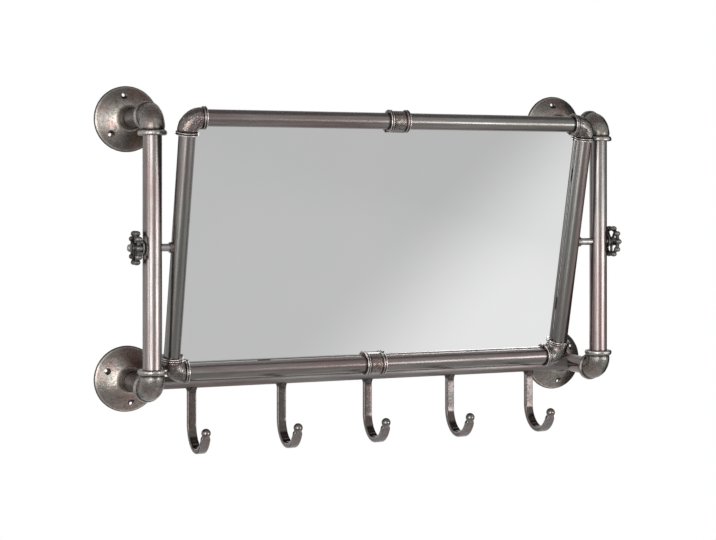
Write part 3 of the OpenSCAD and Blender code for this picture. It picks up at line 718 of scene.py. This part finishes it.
def hook_stations(tip):
    """(way, half width, half thickness, roundness, wear and painted light) at the weld, stem, bend,
    neck and ball; the ball is painted lighter towards its neck as a painted highlight.
    """
    bar = (HOOK_HALF_W, HOOK_HALF_T, HOOK_EDGE, 0.0)
    weld_end, neck = 16, 8
    stem_steps, bend_steps, ball_steps = 12, 64, 15
    stations = [(drop - HOOK_STEM, *across) for drop, *across in HOOK_WELD]
    stations += [(-HOOK_STEM + weld_end + i * (HOOK_STEM - weld_end) / stem_steps, *bar)
                 for i in range(stem_steps + 1)]
    stations += [(i * (tip - neck) / bend_steps, *bar) for i in range(1, bend_steps + 1)]
    stations += [(tip + s, *across) for s, *across in HOOK_NECK]
    for i in range(ball_steps + 1):
        d = HOOK_BALL * math.sin(math.radians(-33 + 122 * i / ball_steps))
        r = math.sqrt(HOOK_BALL ** 2 - d * d)
        # painted highlight: the ball lighter towards its neck
        stations.append((tip + d, r, r, 1.0, 0.45 - 0.35 * i / ball_steps))
    return stations


def hook_rows():
    """Rings along one hook about its rail axis, with their wear and painted light."""
    tip, steps = HOOK_BEND * math.radians(HOOK_SWEEP), 56
    rows, wear_and_painted_light = [], []
    for s, half_w, half_t, roundness, wear_and_light in hook_stations(tip):
        c, out = on_hook(s)
        row = []
        for k in range(steps):
            u, v = rounded(2 * math.pi * (k + 0.5) / steps, roundness)
            row.append(c + out * (half_t * v) + Vector((half_w * u, 0, 0)))
            near_tip = max(0.0, min(1.0, (s - tip + TIP_SHEEN_LENGTH) / TIP_SHEEN_FADE))
            # painted highlight: the stretch before the ball lighter, most on its outer face
            painted_tip_sheen = near_tip * (0.42 if v > 0.3 else 0.12)
            # edges lighter along the bar: partly wear, partly painted highlight
            edge_wear_and_highlight = peak(abs(u), 0.97, 0.05) if roundness < 0.4 and abs(v) > 0.55 else 0
            wear_and_painted_light.append(max(wear_and_light, painted_tip_sheen if s < tip - 5 else wear_and_light) + 0.6 * edge_wear_and_highlight)
        rows.append(row)
    return rows, wear_and_painted_light


def make_hooks():
    rows, wear_and_painted_light = hook_rows()
    for i, x in enumerate(HOOK_X, 1):
        at = Matrix.Translation(Vector((x, RAIL_Y, RAIL_Z)))
        obj = piece(f"hook_forged_{i}", *capped(rows), HOOK, at, wear_and_painted_light, sharp=50.0)
        place(obj, "wall_stand", f"hook_{i}")


# ---------------------------------------------------------------- handwheels and nuts
def wheel_ring():
    """The ring under the lobes, as rows around the wheel."""
    rows, around, across = [], 120, 24
    for k in range(around):
        a = 2 * math.pi * k / around
        out = Vector((math.cos(a), math.sin(a), 0))
        row = []
        for j in range(across):
            u, v = rounded(2 * math.pi * j / across, 0.75)
            row.append(out * (RING_R + RING_HALF_W * u) + Vector((0, 0, WHEEL_MID + RING_HALF_H * v)))
        rows.append(row)
    return rows


def wheel_lobe(a):
    """Rows of a barrel on the ring, at a turn about the wheel's axis."""
    rows, levels = [], 12
    for j in range(levels + 1):
        t = -1 + 2 * j / levels
        r = LOBE_R * (1 - abs(t) ** 2.6 * 0.5)
        rows.append(circle(LOBE_OUT * math.cos(a), LOBE_OUT * math.sin(a),
                           WHEEL_MID + LOBE_HALF_H * t, r, 28))
    return rows


def wheel_spoke(a):
    """Rows of a spoke, wider at its ends, at a turn about the wheel's axis."""
    out, side = Vector((math.cos(a), math.sin(a), 0)), Vector((-math.sin(a), math.cos(a), 0))
    rows, along, across = [], 8, 24
    for j in range(along + 1):
        half_w = SPOKE_HALF + 0.9 * abs(j / along - 0.45) ** 1.4 * 2
        row = []
        for k in range(across):
            u, v = rounded(2 * math.pi * k / across, 0.6)
            row.append(out * (SPOKE_START + SPOKE_LENGTH * j / along) + side * (half_w * u)
                       + Vector((0, 0, WHEEL_MID + SPOKE_HALF * v)))
        rows.append(row)
    return rows


def wheel_parts():
    """Closed shells of the cast wheel about +Z, which points away from the post."""
    parts = [rings(wheel_ring())]
    parts += [capped(wheel_lobe(2 * math.pi * (i + 0.5) / LOBES)) for i in range(LOBES)]
    parts += [capped(wheel_spoke(2 * math.pi * i / SPOKES)) for i in range(SPOKES)]
    return parts + [capped([circle(0, 0, z, r, 48) for z, r in HUB])]


def wheel_wear_and_painted_light(p):
    """Wear and painted light at a point of the row frame: lighter on the lobes' outsides, partly wear
    and partly painted highlight, and darker further in, on the ring, the spokes and the hub, as
    painted shade.
    """
    r = math.hypot(p.y / MM + REACH, p.z / MM - LIFT)
    return max(-0.6, min(0.6, (r - 19.5) / 6.0)) if r > 12 else -0.2


def on_pivot(sh):
    """Places a piece whose +Z points outwards from the post, along the tilt axis."""
    return (Matrix.Translation(Vector((sh * POST_X, -REACH, LIFT)))
            @ Matrix.Rotation(math.radians(90 * sh), 4, "Y"))


def make_wheel(h, sh):
    wheel = joined("handwheel_cast_" + h, wheel_parts(), IRON, on_pivot(sh))
    remesh(wheel, WHEEL_VOXEL, 3)
    set_wear_and_painted_light(wheel.data, [wheel_wear_and_painted_light(v.co) for v in wheel.data.vertices])
    wheel.data.materials.clear()
    wheel.data.materials.append(IRON)
    place(wheel, h + "_wheel", "handwheel_" + h)


def make_nut(h, sh):
    """Hexagonal cap nut: chamfered flats and a domed end."""
    rows, wear_and_painted_light, steps = [], [], 96

    def ring(z, r, hexed, wear_and_light):
        row = []
        for k in range(steps):
            a = 2 * math.pi * k / steps
            flat = NUT_FLAT / math.cos((a + math.pi / 6) % (math.pi / 3) - math.pi / 6)
            q = min(r, flat) if hexed else r
            row.append(Vector((q * math.cos(a), q * math.sin(a), NUT_BASE + z)))
        rows.append(row)
        wear_and_painted_light.extend([wear_and_light] * steps)

    ring(0, 3.6, False, -1)
    ring(0, NUT_CHAMFER_R, True, 0.2)
    ring(NUT_CHAMFER, NUT_CORNER, True, 0.8)
    for i in range(1, 6):
        ring(NUT_CHAMFER + 0.62 * i, NUT_CORNER, True, 0.3)
    ring(NUT_H - 0.05, NUT_CHAMFER_R, True, 0.8)
    ring(NUT_H, CAP_R, False, -0.5)
    for i in range(1, 9):
        a = math.radians(90 * i / 8)
        ring(NUT_H + CAP_H * math.sin(a), (CAP_R - 0.1) * math.cos(a) + 0.1, False, 0.4)
    obj = piece("cap_nut_" + h, *capped(rows), STEEL, on_pivot(sh), wear_and_painted_light, sharp=30.0)
    place(obj, h + "_wheel", "wheel_nut_" + h)


# ---------------------------------------------------------------- mirror
def glass_outline():
    """Corner points of the glass in the frame's own X and Z, clockwise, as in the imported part."""
    def beside(r):
        """Distance from a pipe's axis at which the glass clears a fitting of that radius."""
        return math.sqrt(r * r - GLASS_FRONT * GLASS_FRONT) + GLASS_CLEAR

    w, top = HALF_W - beside(FRAME_R), HALF_H - beside(FRAME_R)
    bend_r = FRAME_ELBOW["bend_r"]
    bent = ((math.sqrt(2) - 1) * bend_r + beside(FRAME_ELBOW["body_r"])) / math.sqrt(2)
    inset = max(beside(FRAME_ELBOW["top_r"]), bent)
    step = bend_r + FRAME_ELBOW["width"] + GLASS_CLEAR
    cx, cz = COUPLING_HALF + GLASS_CLEAR, HALF_H - beside(COUPLING["top_r"])
    a, b = HALF_W - step, HALF_W - inset
    c, d = HALF_H - step, HALF_H - inset
    quarter = [(cx, cz), (cx, top), (a, top), (a, d), (b, d), (b, c), (w, c)]
    right = quarter + [(x, -z) for x, z in reversed(quarter)]
    return right + [(-x, z) for x, z in reversed(right)]


def shrunk(points, by):
    """A clockwise outline moved inwards."""
    got = []
    for i, p in enumerate(points):
        p, before, after = Vector(p), Vector(points[i - 1]), Vector(points[(i + 1) % len(points)])
        e1, e2 = (p - before).normalized(), (after - p).normalized()
        n1, n2 = Vector((e1.y, -e1.x)), Vector((e2.y, -e2.x))
        got.append(p + (n1 + n2) * (by / (1 + n1.dot(n2))))
    return got


def make_mirror():
    outline = glass_outline()
    rows = [[Vector((x, y, z)) for x, z in pts] for y, pts in (
        (GLASS_FRONT, shrunk(outline, GLASS_BORDER)), (GLASS_FRONT + GLASS_BEVEL, outline),
        (GLASS_BACK, outline))]
    obj = piece("mirror_plate", *capped(rows), MIRROR, ON_FRAME, sharp=None)
    mesh = obj.data
    mesh.shade_flat()
    mesh.materials.append(MIRROR_EDGE_PAINTED_SHADE)
    mesh.materials.append(MIRROR_BACK)
    for f in mesh.polygons:
        f.material_index = 1 if len(f.vertices) == 4 else 0
    back = max((f for f in mesh.polygons if len(f.vertices) > 4), key=lambda f: f.center.y)
    back.material_index = 2
    place(obj, "mirror_frame", "mirror_glass")


for v, sv in LEVELS:
    for h, sh in SIDES:
        make_flange(v, h, sv, sh)
        make_stand_elbow(v, h, sv, sh)
        make_frame_elbow(v, h, sv, sh)
    make_coupling(v, sv)
make_hooks()
for h, sh in SIDES:
    make_wheel(h, sh)
    make_nut(h, sh)
make_mirror()


def paint(name, material):
    obj = nodes[name]
    for slot in obj.material_slots:
        slot.link = "OBJECT"
        slot.material = material


paint("post_left", PIPE_Z)
paint("post_right", PIPE_Z_RIGHT_SHADED)
for h, _ in SIDES:
    paint("side_pipe_" + h, FRAME_Z)
    paint("pivot_boss_" + h, CORNER)
    paint("clamp_washer_" + h, STEEL)
    paint("spindle_" + h, STEEL)
    for v, _ in LEVELS:
        paint(f"stub_{v}_{h}", PIPE_Y)
        paint(f"{v}_pipe_{h}", FRAME_X)
paint("hook_rail", PIPE_X_RAIL_SHADED)
paint("backing_brackets", STEEL)
paint("bracket_screws", STEEL)
paint("mirror_backing", BOARD)


# ---------------------------------------------------------------- floor, cards, lamps, world
def sheet(name, corners, material, hidden=False):
    """A flat stage piece; a hidden one shows only in what mirrors it, and casts no shadow."""
    mesh = bpy.data.meshes.new(name)
    mesh.from_pydata(corners, [], [tuple(range(len(corners)))])
    obj = bpy.data.objects.new(name, mesh)
    mesh.materials.append(material)
    scene.collection.objects.link(obj)
    if hidden:
        obj.visible_camera = obj.visible_diffuse = obj.visible_shadow = False
    return obj


def flag(name, start, end, material):
    """A standing card between two points of the floor plan."""
    sheet(name, [(*start, FLAG_LOW), (*end, FLAG_LOW), (*end, FLAG_HIGH), (*start, FLAG_HIGH)],
          material, True)


def awning(name, left, right, near, far, material):
    """A card overhead; near and far are (distance, height) of its edges."""
    sheet(name, [(left, *near), (right, *near), (right, *far), (left, *far)], material, True)


floor = sheet("floor", [(x * FLOOR_HALF, y * FLOOR_HALF, 0) for x, y in (
    (-1, -1), (1, -1), (1, 1), (-1, 1))], mat_floor())
floor.location = (0, 0, FLOOR_Z)

flag_dark = mat_card("flag_dark", 0.05)
flag("flag_right", (0.95, -0.2), (2.0, 1.7), flag_dark)
flag("flag_left_far", (-0.69, 0.6), (-0.60, 1.0), flag_dark)
awning("flag_top", -1.2, 1.4, (0.4, 0.62), (1.8, 1.05), flag_dark)
awning("flag_above", -1.2, 1.4, (-0.7, 0.95), (0.38, 0.8), mat_card("flag_grey", 0.35))


def softbox(name, stand, aim, width, height, radiance):
    """An area lamp at stand, turned to aim, unseen by the camera."""
    light = bpy.data.lights.new(name, "AREA")
    light.shape, light.size, light.size_y = "RECTANGLE", width, height
    light.energy = 4 * width * height * radiance
    obj = bpy.data.objects.new(name, light)
    scene.collection.objects.link(obj)
    obj.location = stand
    obj.rotation_euler = (Vector(aim) - Vector(stand)).to_track_quat("-Z", "Y").to_euler()
    obj.visible_camera = False


softbox("softbox_key", (-1.75, -2.75, 0.15), (0, -0.1, 0.05), 1.45, 2.0, 4.0)
softbox("softbox_side", (-2.2, -1.12, 0.1), (-0.33, -0.1, 0.05), 0.5, 1.3, 2.3)
softbox("softbox_low", (-1.75, -2.1, -0.88), (0, -0.1, 0), 1.2, 0.36, 2.7)
softbox("softbox_fill", (1.85, -2.4, -0.26), (0, -0.13, 0), 1.5, 0.7, 6.0)


def white_world(tree):
    """White where it is seen or mirrored, and dimmer as light."""
    tree.nodes.remove(tree.nodes["Background"])
    blend = tree.nodes.new("ShaderNodeMixShader")
    tree.links.new(seen_ray(tree), blend.inputs[0])
    for shader, strength in zip(blend.inputs[1:], (WORLD_LIGHT, WORLD_SHOWN)):
        white = tree.nodes.new("ShaderNodeBackground")
        white.inputs["Color"].default_value = (1, 1, 1, 1)
        white.inputs["Strength"].default_value = strength
        tree.links.new(white.outputs[0], shader)
    tree.links.new(blend.outputs[0], tree.nodes["World Output"].inputs[0])


scene.world = bpy.data.worlds.new("world")
scene.world.use_nodes = True
white_world(scene.world.node_tree)
scene.view_settings.view_transform = "Standard"

# ---------------------------------------------------------------- camera, at the photograph's angle
cam = bpy.data.cameras.new("camera")
camera = bpy.data.objects.new("camera", cam)
scene.collection.objects.link(camera)
scene.camera = camera
cam.sensor_width = 36.0
cam.lens = 80.69
cam.shift_y = -0.112
camera.location = (-0.8794, -2.1307, 0.0802)
camera.rotation_euler = (math.radians(90), 0.0, math.radians(-22.68))
